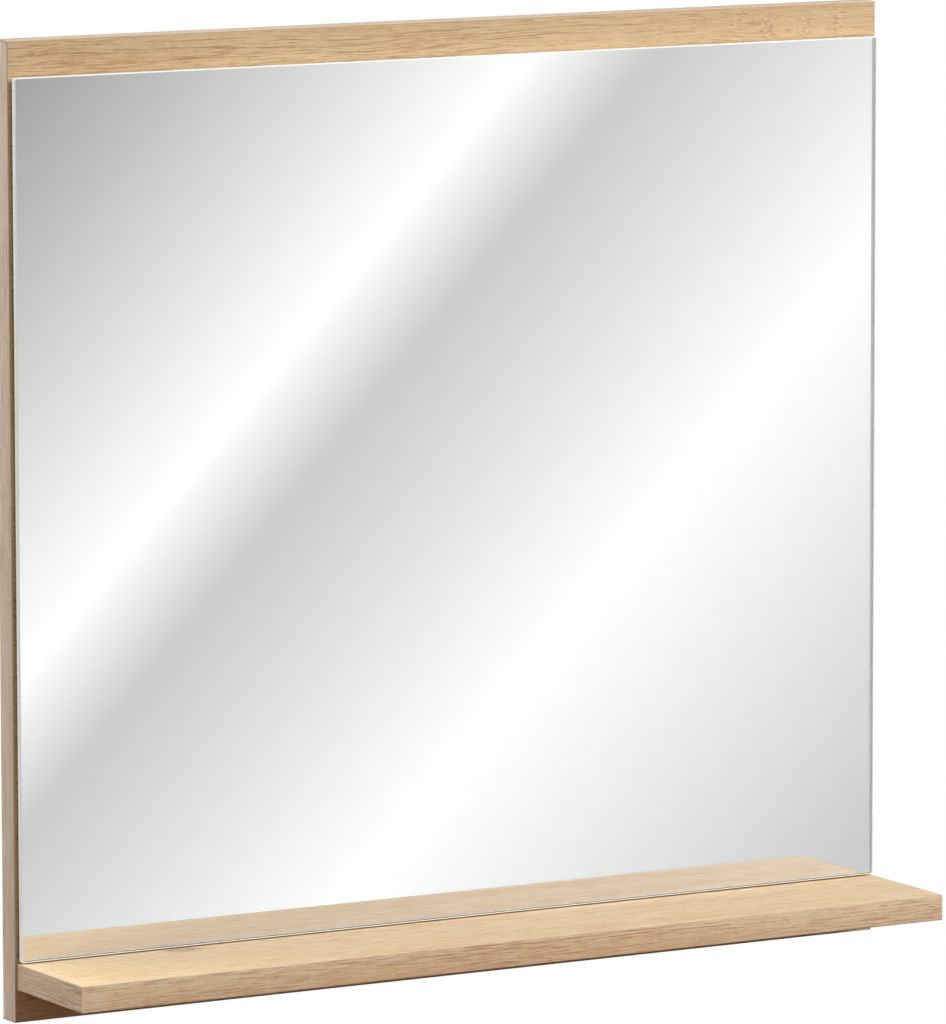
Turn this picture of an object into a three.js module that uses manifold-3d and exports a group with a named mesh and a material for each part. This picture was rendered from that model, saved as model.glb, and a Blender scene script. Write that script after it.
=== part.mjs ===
// Wall mirror with a shelf: an oak-decor board that hangs on two keyhole plates, with a frameless
// mirror glued on its face and a narrow shelf screwed to it from behind.
//
// Millimetres. X runs to the viewer's right, -Y faces the viewer, +Z is up. The origin lies on the
// wall, midway between the two wall screws that the object hangs on.

import * as THREE from "three";
import { mergeVertices } from "three/addons/utils/BufferGeometryUtils.js";
import Module from "manifold-3d";

const wasm = await Module();
wasm.setup();

// ---------------------------------------------------------------- driving dimensions

// Upright panel
const PANEL_WIDTH = 600;
const PANEL_HEIGHT = 582;
const PANEL_BOARD = 16;

// Shelf
const SHELF_DEPTH = 84; // from the panel's face to the shelf's front
const SHELF_BOARD = 16;
const SHELF_UNDERSIDE = 19.5; // above the panel's lower edge
const SHELF_END_INSET = 1.5; // each end stops short of the panel's side by this much

// Edge bands, glued on the boards' cut edges
const BAND_THICKNESS = 1;
const BAND_ARRIS = 0.6; // radius of a band's two long outer edges

// Mirror
const MIRROR_SIDE_INSET = 2; // from the panel's sides
const MIRROR_TOP_MARGIN = 21.5; // strip of panel that shows above the mirror
const MIRROR_SHELF_GAP = 1; // from the shelf's top to the mirror's lower edge
const GLASS_THICKNESS = 3.85;
const GLASS_SEAM = 0.5; // ground chamfer round both faces
const SILVERING_THICKNESS = 0.13;
const SILVERING_EDGE_INSET = 0.2; // behind the glass's rear chamfer
const MIRROR_STANDOFF = 1.5; // from the panel's face to the back of the silvering

// Foam tapes and adhesive beads behind the mirror
const TAPE_COUNT = 4;
const TAPE_WIDTH = 24;
const TAPE_SIDE_MARGIN = 22; // from the mirror's side to the outer tape
const TAPE_END_MARGIN = 24; // from the mirror's top and bottom to the tapes' ends
const BEAD_WIDTH = 11;
const BEAD_END_MARGIN = 55; // from the mirror's top and bottom to the beads' ends

// Connector screws through the panel into the shelf's back edge
const CONNECTOR_COUNT = 3;
const CONNECTOR_LENGTH = 50;
const CONNECTOR_END_DISTANCE = 50; // outer screws, from the shelf's ends
const CONNECTOR_HEAD_RADIUS = 5;
const CONNECTOR_HEAD_HEIGHT = 3.4;
const CONNECTOR_COLLAR_RADIUS = 3.5;
const CONNECTOR_COLLAR_LENGTH = 9;
const CONNECTOR_THREAD_RADIUS = 3.5;
const CONNECTOR_CORE_RADIUS = 2.4;
const CONNECTOR_PITCH = 3;
const CONNECTOR_TIP = 3.5;
const CONNECTOR_SINK = 0.6; // the head lies this far under the panel's back
const HEX_ACROSS_FLATS = 4;
const HEX_DEPTH = 2.6;

// Dowels that locate the shelf, midway between the connector screws
const DOWEL_RADIUS = 4;
const DOWEL_LENGTH = 30;
const DOWEL_IN_PANEL = 10; // its length inside the panel
const DOWEL_FLUTES = 12;
const DOWEL_FLUTE_DEPTH = 0.3;
const DOWEL_CHAMFER = 0.8;

// Keyhole hanger plates
const HANGER_SIDE_MARGIN = 60; // from the panel's side to the wall screw
const HANGER_BELOW_TOP = 60; // the wall screws, below the panel's top
const HANGER_WIDTH = 52;
const HANGER_HEIGHT = 30;
const HANGER_THICKNESS = 2;
const HANGER_CORNER_RADIUS = 4;
const KEYHOLE_SLOT_RADIUS = 2.6;
const KEYHOLE_ENTRY_RADIUS = 5;
const KEYHOLE_RISE = 9; // from the entry hole's centre up to the slot's end
const POCKET_MARGIN = 2; // the routed pocket, beyond the entry hole
const POCKET_DEPTH = 8;

// Countersunk screws of the hanger plates
const HANGER_SCREW_SPACING = 36;
const HANGER_SCREW_LENGTH = 14;
const HANGER_SCREW_HEAD_RADIUS = 3.4;
const HANGER_SCREW_HEAD_HEIGHT = 1.7;
const HANGER_SCREW_THREAD_RADIUS = 1.7;
const HANGER_SCREW_CORE_RADIUS = 1.15;
const HANGER_SCREW_PITCH = 1.6;
const HANGER_SCREW_TIP = 2.4;
const CROSS_SLOT_WIDTH = 0.8;
const CROSS_SLOT_LENGTH = 3.2;
const CROSS_SLOT_DEPTH = 1.1;

// Wall bumpers
const BUMPER_RADIUS = 6;
const BUMPER_EDGE_RADIUS = 0.9;
const BUMPER_SIDE_MARGIN = 25; // from the panel's side to the bumper's centre
const BUMPER_BOTTOM_MARGIN = 25; // from the panel's lower edge to the bumper's centre

// Clearances
const GLUE_LINE = 0.1; // between glued or clamped faces
const COATING_GAP = 0.02; // between the silvering and the glass
const SCREW_FIT = 0.15; // round a screw or dowel in its hole
const HOLE_END_FIT = 0.5; // past the tip of a screw or dowel
const OVERCUT = 1; // a cutting tool starts this far outside the face that it cuts

// Facets
const ARC_STEPS = 4; // in each quarter turn of an outline
const HOLE_SIDES = 16;
const SCREW_SIDES = 10;
const RINGS_PER_PITCH = 4;
const BUMPER_SIDES = 20;

// ---------------------------------------------------------------- derived sizes and planes

const panelBackY = -(HANGER_THICKNESS + GLUE_LINE);
const panelFrontY = panelBackY - PANEL_BOARD;
const hangLevel = PANEL_HEIGHT - HANGER_BELOW_TOP;

const shelfBackY = panelFrontY - GLUE_LINE;
const shelfFrontY = panelFrontY - SHELF_DEPTH;
const shelfLength = PANEL_WIDTH - 2 * SHELF_END_INSET;
const shelfTop = SHELF_UNDERSIDE + SHELF_BOARD;
const shelfMiddle = SHELF_UNDERSIDE + SHELF_BOARD / 2;

const mirrorWidth = PANEL_WIDTH - 2 * MIRROR_SIDE_INSET;
const mirrorBottom = shelfTop + MIRROR_SHELF_GAP;
const mirrorHeight = PANEL_HEIGHT - MIRROR_TOP_MARGIN - mirrorBottom;
const mirrorMiddle = mirrorBottom + mirrorHeight / 2;
const silveringBackY = panelFrontY - MIRROR_STANDOFF;
const glassBackY = silveringBackY - SILVERING_THICKNESS - COATING_GAP;

const bandReach = BAND_THICKNESS + GLUE_LINE; // what a band adds to the board it is glued on

const connectorReach = shelfLength / 2 - CONNECTOR_END_DISTANCE;
const connectorPlaces = evenly(CONNECTOR_COUNT, -connectorReach, connectorReach);
const dowelPlaces = midpoints(connectorPlaces);

// A keyhole's slot ends at the hanging level and its entry hole lies below it.
const keyholeEntry = hangLevel - KEYHOLE_RISE;
const keyholeMiddle = hangLevel - KEYHOLE_RISE / 2;
const hangerReach = PANEL_WIDTH / 2 - HANGER_SIDE_MARGIN;
const hangerPlaces = { left: -hangerReach, right: hangerReach };
const hangerScrewOffsets = [-HANGER_SCREW_SPACING / 2, HANGER_SCREW_SPACING / 2];

function evenly(count, from, to) {
  return Array.from({ length: count }, (_, i) =>
    count === 1 ? (from + to) / 2 : from + ((to - from) * i) / (count - 1),
  );
}

function midpoints(places) {
  return places.slice(1).map((place, i) => (place + places[i]) / 2);
}

// ---------------------------------------------------------------- materials

function finish(color, roughness, metalness = 0) {
  return new THREE.MeshStandardMaterial({ color, roughness, metalness });
}

const oakDecor = () => finish(0xdcc09a, 0.55);
const oakBand = () => finish(0xc9a985, 0.5);
const clearGlass = () => finish(0xdfe8e4, 0.03);
const silver = () => finish(0xe6e8e8, 0.05, 1);
const whiteFoam = () => finish(0xe9e7e1, 0.9);
const greyAdhesive = () => finish(0xb9b7b0, 0.6);
const zincSteel = () => finish(0xb8babb, 0.35, 1);
const yellowZincSteel = () => finish(0xc8ab63, 0.35, 1);
const beech = () => finish(0xd8b98c, 0.75);
const clearRubber = () => finish(0xd5d8d6, 0.4);

// ---------------------------------------------------------------- solids

// A closed geometry as a manifold solid, moved to where the cut or join happens.
function solid(geometry, x = 0, y = 0, z = 0) {
  const bare = geometry.clone().translate(x, y, z);
  bare.deleteAttribute("normal");
  bare.deleteAttribute("uv");
  const merged = mergeVertices(bare, 1e-4);
  return new wasm.Manifold(
    new wasm.Mesh({
      numProp: 3,
      vertProperties: new Float32Array(merged.attributes.position.array),
      triVerts: new Uint32Array(merged.index.array),
    }),
  );
}

function geometryOf(body) {
  const { vertProperties, triVerts } = body.getMesh();
  const geometry = new THREE.BufferGeometry();
  geometry.setAttribute("position", new THREE.BufferAttribute(vertProperties, 3));
  geometry.setIndex(new THREE.BufferAttribute(triVerts, 1));
  geometry.computeVertexNormals();
  return geometry;
}

function cut(body, tools) {
  return tools.reduce((left, tool) => left.subtract(tool), body);
}

// A facetted hole whose flats, not its corners, lie at the named radius.
const cornerOf = (radius) => radius / Math.cos(Math.PI / HOLE_SIDES);

// A round hole along Y between two depths.
function drill(x, z, radius, fromY, toY) {
  const corner = cornerOf(radius);
  const tool = new THREE.CylinderGeometry(corner, corner, Math.abs(toY - fromY), HOLE_SIDES);
  return solid(tool, x, (fromY + toY) / 2, z);
}

function capsuleShape(radius, fromY, toY) {
  const shape = new THREE.Shape();
  shape.absarc(0, toY, radius, 0, Math.PI, false);
  shape.absarc(0, fromY, radius, Math.PI, 2 * Math.PI, false);
  shape.closePath();
  return shape;
}

// ---------------------------------------------------------------- boards and bands

// An edge band: a strip as wide as the board, rounded on its two outer long edges. It is drawn
// with its outer face towards local +X and runs along local Z, then turned to face `out`.
function edgeBand(name, board, length, out, run) {
  const half = board / 2;
  const inner = BAND_THICKNESS - BAND_ARRIS;
  const section = new THREE.Shape();
  section.moveTo(0, -half);
  section.lineTo(inner, -half);
  section.absarc(inner, -half + BAND_ARRIS, BAND_ARRIS, -Math.PI / 2, 0, false);
  section.absarc(inner, half - BAND_ARRIS, BAND_ARRIS, 0, Math.PI / 2, false);
  section.lineTo(0, half);
  section.closePath();
  const strip = new THREE.ExtrudeGeometry(section, {
    depth: length,
    bevelEnabled: false,
    curveSegments: ARC_STEPS,
  });
  strip.translate(0, 0, -length / 2);
  const band = new THREE.Mesh(strip, oakBand());
  band.name = name;
  const across = new THREE.Vector3().crossVectors(run, out);
  band.quaternion.setFromRotationMatrix(new THREE.Matrix4().makeBasis(out, across, run));
  return band;
}

const alongX = new THREE.Vector3(1, 0, 0);
const alongY = new THREE.Vector3(0, 1, 0);
const alongZ = new THREE.Vector3(0, 0, 1);

function panelCore() {
  const board = new THREE.BoxGeometry(
    PANEL_WIDTH - 2 * bandReach,
    PANEL_BOARD,
    PANEL_HEIGHT - 2 * bandReach,
  );
  const holes = [];
  const outside = panelBackY + OVERCUT;
  for (const x of connectorPlaces) {
    const headEnd = panelBackY - CONNECTOR_SINK - CONNECTOR_HEAD_HEIGHT - HOLE_END_FIT;
    holes.push(drill(x, shelfMiddle, CONNECTOR_HEAD_RADIUS + SCREW_FIT, outside, headEnd));
    const shank = Math.max(CONNECTOR_THREAD_RADIUS, CONNECTOR_COLLAR_RADIUS) + SCREW_FIT;
    holes.push(drill(x, shelfMiddle, shank, outside, panelFrontY - OVERCUT));
  }
  for (const x of dowelPlaces) {
    const bottom = panelFrontY + DOWEL_IN_PANEL + HOLE_END_FIT;
    holes.push(drill(x, shelfMiddle, DOWEL_RADIUS + SCREW_FIT, panelFrontY - OVERCUT, bottom));
  }
  for (const x of Object.values(hangerPlaces)) {
    holes.push(keyholePocket(x));
    for (const offset of hangerScrewOffsets) {
      const radius = HANGER_SCREW_THREAD_RADIUS + SCREW_FIT;
      const bottom = -HANGER_SCREW_LENGTH - HOLE_END_FIT;
      holes.push(drill(x + offset, keyholeMiddle, radius, outside, bottom));
    }
  }
  const body = cut(solid(board, 0, (panelBackY + panelFrontY) / 2, PANEL_HEIGHT / 2), holes);
  const core = new THREE.Mesh(geometryOf(body), oakDecor());
  core.name = "panel_core";
  return core;
}

function panelBands() {
  const bands = new THREE.Group();
  const middleY = (panelBackY + panelFrontY) / 2;
  const sideReach = PANEL_WIDTH / 2 - BAND_THICKNESS;
  const sideLength = PANEL_HEIGHT - 2 * bandReach;
  for (const [side, sign] of [["left", -1], ["right", 1]]) {
    const out = alongX.clone().multiplyScalar(sign);
    const band = edgeBand(`panel_band_${side}`, PANEL_BOARD, sideLength, out, alongZ);
    band.position.set(sign * sideReach, middleY, PANEL_HEIGHT / 2);
    bands.add(band);
  }
  const endReach = PANEL_HEIGHT / 2 - BAND_THICKNESS;
  for (const [side, sign] of [["bottom", -1], ["top", 1]]) {
    const out = alongZ.clone().multiplyScalar(sign);
    const band = edgeBand(`panel_band_${side}`, PANEL_BOARD, PANEL_WIDTH, out, alongX);
    band.position.set(0, middleY, PANEL_HEIGHT / 2 + sign * endReach);
    bands.add(band);
  }
  return bands;
}

function shelfCore() {
  const length = shelfLength - 2 * bandReach;
  const depth = shelfBackY - shelfFrontY - bandReach;
  const holes = [];
  for (const x of connectorPlaces) {
    const radius = CONNECTOR_THREAD_RADIUS + SCREW_FIT;
    const bottom = panelBackY - CONNECTOR_SINK - CONNECTOR_LENGTH - HOLE_END_FIT;
    holes.push(drill(x, shelfMiddle, radius, shelfBackY + OVERCUT, bottom));
  }
  for (const x of dowelPlaces) {
    const bottom = panelFrontY + DOWEL_IN_PANEL - DOWEL_LENGTH - HOLE_END_FIT;
    holes.push(drill(x, shelfMiddle, DOWEL_RADIUS + SCREW_FIT, shelfBackY + OVERCUT, bottom));
  }
  const board = new THREE.BoxGeometry(length, depth, SHELF_BOARD);
  const body = cut(solid(board, 0, shelfBackY - depth / 2, shelfMiddle), holes);
  const core = new THREE.Mesh(geometryOf(body), oakDecor());
  core.name = "shelf_core";
  return core;
}

function shelfBands() {
  const bands = new THREE.Group();
  const sideLength = shelfBackY - shelfFrontY - bandReach;
  for (const [side, sign] of [["left", -1], ["right", 1]]) {
    const out = alongX.clone().multiplyScalar(sign);
    const band = edgeBand(`shelf_band_${side}`, SHELF_BOARD, sideLength, out, alongY);
    band.position.set(
      sign * (shelfLength / 2 - BAND_THICKNESS),
      shelfBackY - sideLength / 2,
      shelfMiddle,
    );
    bands.add(band);
  }
  const front = alongY.clone().negate();
  const band = edgeBand("shelf_band_front", SHELF_BOARD, shelfLength, front, alongX);
  band.position.set(0, shelfFrontY + BAND_THICKNESS, shelfMiddle);
  bands.add(band);
  return bands;
}

// ---------------------------------------------------------------- mirror

function mirrorGlass() {
  const halfWidth = mirrorWidth / 2 - GLASS_SEAM;
  const halfHeight = mirrorHeight / 2 - GLASS_SEAM;
  const outline = rectangleShape(halfWidth, halfHeight);
  const sheet = new THREE.ExtrudeGeometry(outline, {
    depth: GLASS_THICKNESS - 2 * GLASS_SEAM,
    bevelThickness: GLASS_SEAM,
    bevelSize: GLASS_SEAM,
    bevelSegments: 1,
  });
  sheet.translate(0, 0, GLASS_SEAM);
  return sheetOnMirror("mirror_glass", sheet, clearGlass(), glassBackY);
}

function mirrorSilvering() {
  const inset = GLASS_SEAM + SILVERING_EDGE_INSET;
  const outline = rectangleShape(mirrorWidth / 2 - inset, mirrorHeight / 2 - inset);
  const sheet = new THREE.ExtrudeGeometry(outline, {
    depth: SILVERING_THICKNESS,
    bevelEnabled: false,
  });
  return sheetOnMirror("mirror_silvering", sheet, silver(), silveringBackY);
}

function rectangleShape(halfWidth, halfHeight) {
  const shape = new THREE.Shape();
  shape.moveTo(-halfWidth, -halfHeight);
  shape.lineTo(halfWidth, -halfHeight);
  shape.lineTo(halfWidth, halfHeight);
  shape.lineTo(-halfWidth, halfHeight);
  shape.closePath();
  return shape;
}

// Stands a sheet, drawn flat and thickened along local Z, upright at the mirror's middle with its
// back at `backY`.
function sheetOnMirror(name, sheet, material, backY, x = 0) {
  const mesh = new THREE.Mesh(sheet, material);
  mesh.name = name;
  mesh.rotation.x = Math.PI / 2;
  mesh.position.set(x, backY, mirrorMiddle);
  return mesh;
}

function mirrorBonding() {
  const bonding = new THREE.Group();
  const depth = MIRROR_STANDOFF - 2 * GLUE_LINE;
  const backY = panelFrontY - GLUE_LINE;
  const reach = mirrorWidth / 2 - TAPE_SIDE_MARGIN - TAPE_WIDTH / 2;
  const tapePlaces = evenly(TAPE_COUNT, -reach, reach);
  tapePlaces.forEach((x, i) => {
    const outline = rectangleShape(TAPE_WIDTH / 2, mirrorHeight / 2 - TAPE_END_MARGIN);
    const strip = new THREE.ExtrudeGeometry(outline, { depth, bevelEnabled: false });
    bonding.add(sheetOnMirror(`mirror_tape_${i + 1}`, strip, whiteFoam(), backY, x));
  });
  midpoints(tapePlaces).forEach((x, i) => {
    const reachUp = mirrorHeight / 2 - BEAD_END_MARGIN - BEAD_WIDTH / 2;
    const outline = capsuleShape(BEAD_WIDTH / 2, -reachUp, reachUp);
    const bead = new THREE.ExtrudeGeometry(outline, {
      depth,
      bevelEnabled: false,
      curveSegments: 2 * ARC_STEPS,
    });
    bonding.add(sheetOnMirror(`mirror_adhesive_${i + 1}`, bead, greyAdhesive(), backY, x));
  });
  return bonding;
}

// ---------------------------------------------------------------- screws and dowels

// A screw along Y with its head's top at the origin and its tip towards -Y. `profile` lists the
// plain part from the head down as [radius, depth]; below it runs a helical thread to the tip.
function screwGeometry(profile, thread) {
  const rings = profile.map(([radius, depth]) => ({ radius, depth, height: 0 }));
  const start = profile.at(-1)[1];
  const end = thread.length - thread.tip;
  const steps = Math.ceil(((end - start) / thread.pitch) * RINGS_PER_PITCH);
  for (let i = 1; i <= steps; i++) {
    const depth = start + ((end - start) * i) / steps;
    rings.push({ radius: thread.core, depth, height: thread.radius - thread.core });
  }
  const positions = [0, 0, 0];
  for (const { radius, depth, height } of rings)
    for (let side = 0; side < SCREW_SIDES; side++) {
      const turn = side / SCREW_SIDES;
      const phase = (((depth / thread.pitch + turn) % 1) + 1) % 1;
      const r = radius + height * (1 - Math.abs(2 * phase - 1));
      const angle = 2 * Math.PI * turn;
      positions.push(r * Math.cos(angle), -depth, r * Math.sin(angle));
    }
  positions.push(0, -thread.length, 0);
  const index = [];
  const last = rings.length * SCREW_SIDES + 1;
  const vertex = (ring, side) => 1 + ring * SCREW_SIDES + (side % SCREW_SIDES);
  for (let side = 0; side < SCREW_SIDES; side++) {
    index.push(0, vertex(0, side + 1), vertex(0, side));
    index.push(last, vertex(rings.length - 1, side), vertex(rings.length - 1, side + 1));
    for (let ring = 0; ring + 1 < rings.length; ring++) {
      const [a, b] = [vertex(ring, side), vertex(ring, side + 1)];
      const [c, d] = [vertex(ring + 1, side), vertex(ring + 1, side + 1)];
      index.push(a, b, d, a, d, c);
    }
  }
  const geometry = new THREE.BufferGeometry();
  geometry.setAttribute("position", new THREE.Float32BufferAttribute(positions, 3));
  geometry.setIndex(index);
  return geometry;
}

function connectorScrews() {
  const profile = [
    [CONNECTOR_HEAD_RADIUS, 0],
    [CONNECTOR_HEAD_RADIUS, 1],
    [CONNECTOR_COLLAR_RADIUS, CONNECTOR_HEAD_HEIGHT],
    [CONNECTOR_COLLAR_RADIUS, CONNECTOR_HEAD_HEIGHT + CONNECTOR_COLLAR_LENGTH],
    [CONNECTOR_CORE_RADIUS, CONNECTOR_HEAD_HEIGHT + CONNECTOR_COLLAR_LENGTH + 1],
  ];
  const thread = {
    length: CONNECTOR_LENGTH,
    tip: CONNECTOR_TIP,
    pitch: CONNECTOR_PITCH,
    core: CONNECTOR_CORE_RADIUS,
    radius: CONNECTOR_THREAD_RADIUS,
  };
  const cornerRadius = HEX_ACROSS_FLATS / Math.sqrt(3);
  const hex = new THREE.CylinderGeometry(cornerRadius, cornerRadius, 2 * HEX_DEPTH, 6);
  const geometry = geometryOf(cut(solid(screwGeometry(profile, thread)), [solid(hex)]));
  const screws = new THREE.Group();
  connectorPlaces.forEach((x, i) => {
    const screw = new THREE.Mesh(geometry, yellowZincSteel());
    screw.name = `confirmat_screw_${i + 1}`;
    screw.position.set(x, panelBackY - CONNECTOR_SINK, shelfMiddle);
    screws.add(screw);
  });
  return screws;
}

// A fluted rod along local Z, cut to a pin with chamfered ends.
function dowelGeometry() {
  const points = 2 * DOWEL_FLUTES;
  const corners = Array.from({ length: points }, (_, i) => {
    const angle = (2 * Math.PI * i) / points;
    const radius = DOWEL_RADIUS - (i % 2) * DOWEL_FLUTE_DEPTH;
    return new THREE.Vector2(radius * Math.cos(angle), radius * Math.sin(angle));
  });
  const rod = new THREE.ExtrudeGeometry(new THREE.Shape(corners), {
    depth: DOWEL_LENGTH,
    bevelEnabled: false,
  });
  const neck = DOWEL_RADIUS - DOWEL_CHAMFER;
  const pin = new THREE.LatheGeometry(
    [
      new THREE.Vector2(0, 0),
      new THREE.Vector2(neck, 0),
      new THREE.Vector2(DOWEL_RADIUS, DOWEL_CHAMFER),
      new THREE.Vector2(DOWEL_RADIUS, DOWEL_LENGTH - DOWEL_CHAMFER),
      new THREE.Vector2(neck, DOWEL_LENGTH),
      new THREE.Vector2(0, DOWEL_LENGTH),
    ],
    points,
  );
  pin.rotateX(Math.PI / 2);
  return geometryOf(solid(rod).intersect(solid(pin)));
}

function shelfDowels() {
  const geometry = dowelGeometry();
  const dowels = new THREE.Group();
  dowelPlaces.forEach((x, i) => {
    const dowel = new THREE.Mesh(geometry, beech());
    dowel.name = `shelf_dowel_${i + 1}`;
    dowel.rotation.x = Math.PI / 2;
    dowel.position.set(x, panelFrontY + DOWEL_IN_PANEL, shelfMiddle);
    dowels.add(dowel);
  });
  return dowels;
}

// ---------------------------------------------------------------- hangers and bumpers

function keyholePocket(x) {
  const radius = KEYHOLE_ENTRY_RADIUS + POCKET_MARGIN;
  const outline = capsuleShape(radius, keyholeEntry, hangLevel);
  const tool = new THREE.ExtrudeGeometry(outline, {
    depth: POCKET_DEPTH + OVERCUT,
    bevelEnabled: false,
    curveSegments: 2 * ARC_STEPS,
  });
  tool.rotateX(Math.PI / 2);
  return solid(tool, x, panelBackY + OVERCUT, 0);
}

function keyholeOutline() {
  const hole = new THREE.Path();
  const meet = Math.acos(KEYHOLE_SLOT_RADIUS / KEYHOLE_ENTRY_RADIUS);
  hole.absarc(0, hangLevel, KEYHOLE_SLOT_RADIUS, 0, Math.PI, false);
  hole.absarc(0, keyholeEntry, KEYHOLE_ENTRY_RADIUS, Math.PI - meet, 2 * Math.PI + meet, false);
  hole.closePath();
  return hole;
}

function hangerPlate(side, x) {
  const outline = hangerOutline();
  outline.holes.push(keyholeOutline());
  const sheet = new THREE.ExtrudeGeometry(outline, {
    depth: HANGER_THICKNESS,
    bevelEnabled: false,
    curveSegments: 2 * ARC_STEPS,
  });
  sheet.rotateX(Math.PI / 2);
  const sinks = hangerScrewOffsets.map((offset) => {
    const wide = HANGER_SCREW_HEAD_RADIUS + SCREW_FIT;
    const narrow = HANGER_SCREW_THREAD_RADIUS + SCREW_FIT;
    const cone = new THREE.CylinderGeometry(
      cornerOf(wide),
      cornerOf(narrow),
      HANGER_SCREW_HEAD_HEIGHT,
      HOLE_SIDES,
    );
    const sink = solid(cone, offset, -HANGER_SCREW_HEAD_HEIGHT / 2, keyholeMiddle);
    const mouth = drill(offset, keyholeMiddle, wide, OVERCUT, 0);
    const through = drill(offset, keyholeMiddle, narrow, OVERCUT, -HANGER_THICKNESS - OVERCUT);
    return sink.add(mouth).add(through);
  });
  const plate = new THREE.Mesh(geometryOf(cut(solid(sheet), sinks)), zincSteel());
  plate.name = `hanger_plate_${side}`;
  plate.position.x = x;
  return plate;
}

function hangerOutline() {
  const radius = HANGER_CORNER_RADIUS;
  const right = HANGER_WIDTH / 2 - radius;
  const top = keyholeMiddle + HANGER_HEIGHT / 2 - radius;
  const bottom = keyholeMiddle - HANGER_HEIGHT / 2 + radius;
  const shape = new THREE.Shape();
  shape.absarc(right, top, radius, 0, Math.PI / 2, false);
  shape.absarc(-right, top, radius, Math.PI / 2, Math.PI, false);
  shape.absarc(-right, bottom, radius, Math.PI, (3 * Math.PI) / 2, false);
  shape.absarc(right, bottom, radius, (3 * Math.PI) / 2, 2 * Math.PI, false);
  shape.closePath();
  return shape;
}

function hangerScrews(side, x) {
  const profile = [
    [HANGER_SCREW_HEAD_RADIUS, 0],
    [HANGER_SCREW_THREAD_RADIUS, HANGER_SCREW_HEAD_HEIGHT],
    [HANGER_SCREW_CORE_RADIUS, HANGER_SCREW_HEAD_HEIGHT + HANGER_SCREW_PITCH / 2],
  ];
  const thread = {
    length: HANGER_SCREW_LENGTH,
    tip: HANGER_SCREW_TIP,
    pitch: HANGER_SCREW_PITCH,
    core: HANGER_SCREW_CORE_RADIUS,
    radius: HANGER_SCREW_THREAD_RADIUS,
  };
  const slots = [
    new THREE.BoxGeometry(CROSS_SLOT_LENGTH, 2 * CROSS_SLOT_DEPTH, CROSS_SLOT_WIDTH),
    new THREE.BoxGeometry(CROSS_SLOT_WIDTH, 2 * CROSS_SLOT_DEPTH, CROSS_SLOT_LENGTH),
  ];
  const body = cut(solid(screwGeometry(profile, thread)), slots.map((slot) => solid(slot)));
  const geometry = geometryOf(body);
  const screws = new THREE.Group();
  hangerScrewOffsets.forEach((offset, i) => {
    const screw = new THREE.Mesh(geometry, zincSteel());
    screw.name = `hanger_screw_${side}_${i + 1}`;
    screw.position.set(x + offset, 0, keyholeMiddle);
    screws.add(screw);
  });
  return screws;
}

function wallBumper(side, sign) {
  const profile = new THREE.Path();
  profile.moveTo(0, -HANGER_THICKNESS);
  profile.lineTo(BUMPER_RADIUS, -HANGER_THICKNESS);
  const edge = BUMPER_EDGE_RADIUS;
  profile.absarc(BUMPER_RADIUS - edge, -edge, edge, 0, Math.PI / 2, false);
  profile.lineTo(0, 0);
  const pad = new THREE.LatheGeometry(profile.getPoints(ARC_STEPS / 2), BUMPER_SIDES);
  const bumper = new THREE.Mesh(pad, clearRubber());
  bumper.name = `wall_bumper_${side}`;
  bumper.position.set(sign * (PANEL_WIDTH / 2 - BUMPER_SIDE_MARGIN), 0, BUMPER_BOTTOM_MARGIN);
  return bumper;
}

// ---------------------------------------------------------------- assembly

const assembly = new THREE.Group();
assembly.position.z = -hangLevel;
assembly.add(
  panelCore(),
  panelBands(),
  shelfCore(),
  shelfBands(),
  mirrorGlass(),
  mirrorSilvering(),
  mirrorBonding(),
  connectorScrews(),
  shelfDowels(),
);
for (const [side, x] of Object.entries(hangerPlaces))
  assembly.add(hangerPlate(side, x), hangerScrews(side, x), wallBumper(side, Math.sign(x)));

const mirrorWithShelf = new THREE.Group();
mirrorWithShelf.add(assembly);

export default mirrorWithShelf;
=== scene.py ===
"""Looks of the wall mirror with a shelf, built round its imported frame.

Metres. X runs to the viewer's right, -Y faces the viewer, +Z is up, and the origin lies on the wall
midway between the two wall screws. The boards, the silvering, the tapes, the adhesive beads and the
dowels keep their CAD solids under new finishes. The edge bands, the glass, the hanger plates, the
screws and the bumpers are finer meshes in the same places.
"""

import math

import bmesh
import bpy
from mathutils import Euler, Matrix, Vector


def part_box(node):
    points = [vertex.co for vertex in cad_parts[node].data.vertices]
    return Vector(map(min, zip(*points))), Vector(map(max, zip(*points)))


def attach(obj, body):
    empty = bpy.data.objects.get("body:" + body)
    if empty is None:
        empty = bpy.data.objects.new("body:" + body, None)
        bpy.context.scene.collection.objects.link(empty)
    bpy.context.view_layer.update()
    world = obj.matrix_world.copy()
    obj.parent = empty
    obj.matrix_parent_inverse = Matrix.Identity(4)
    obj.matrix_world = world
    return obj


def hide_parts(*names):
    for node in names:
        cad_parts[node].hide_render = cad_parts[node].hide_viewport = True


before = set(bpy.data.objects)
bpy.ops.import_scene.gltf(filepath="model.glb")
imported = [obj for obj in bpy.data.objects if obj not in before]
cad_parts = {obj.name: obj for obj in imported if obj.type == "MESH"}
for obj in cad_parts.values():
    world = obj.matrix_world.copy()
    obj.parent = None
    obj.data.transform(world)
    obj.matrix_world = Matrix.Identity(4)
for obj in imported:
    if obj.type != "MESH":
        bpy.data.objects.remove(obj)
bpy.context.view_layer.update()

MM = 0.001
BODY = "root"

# -------------------------------- sizes

# Where the photograph was taken from, and its lens
CAMERA_PLACE = Vector((-2.561, -4.480, 0.458))
CAMERA_TURN = math.radians(29.98)  # to the right of straight at the wall
CAMERA_DIP = math.radians(7.70)
CAMERA_ROLL = math.radians(-0.087)
CAMERA_LENS = 302.0
CAMERA_SENSOR = 36.0
CAMERA_REACH = 300.0  # farther than the floor's far corner

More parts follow.
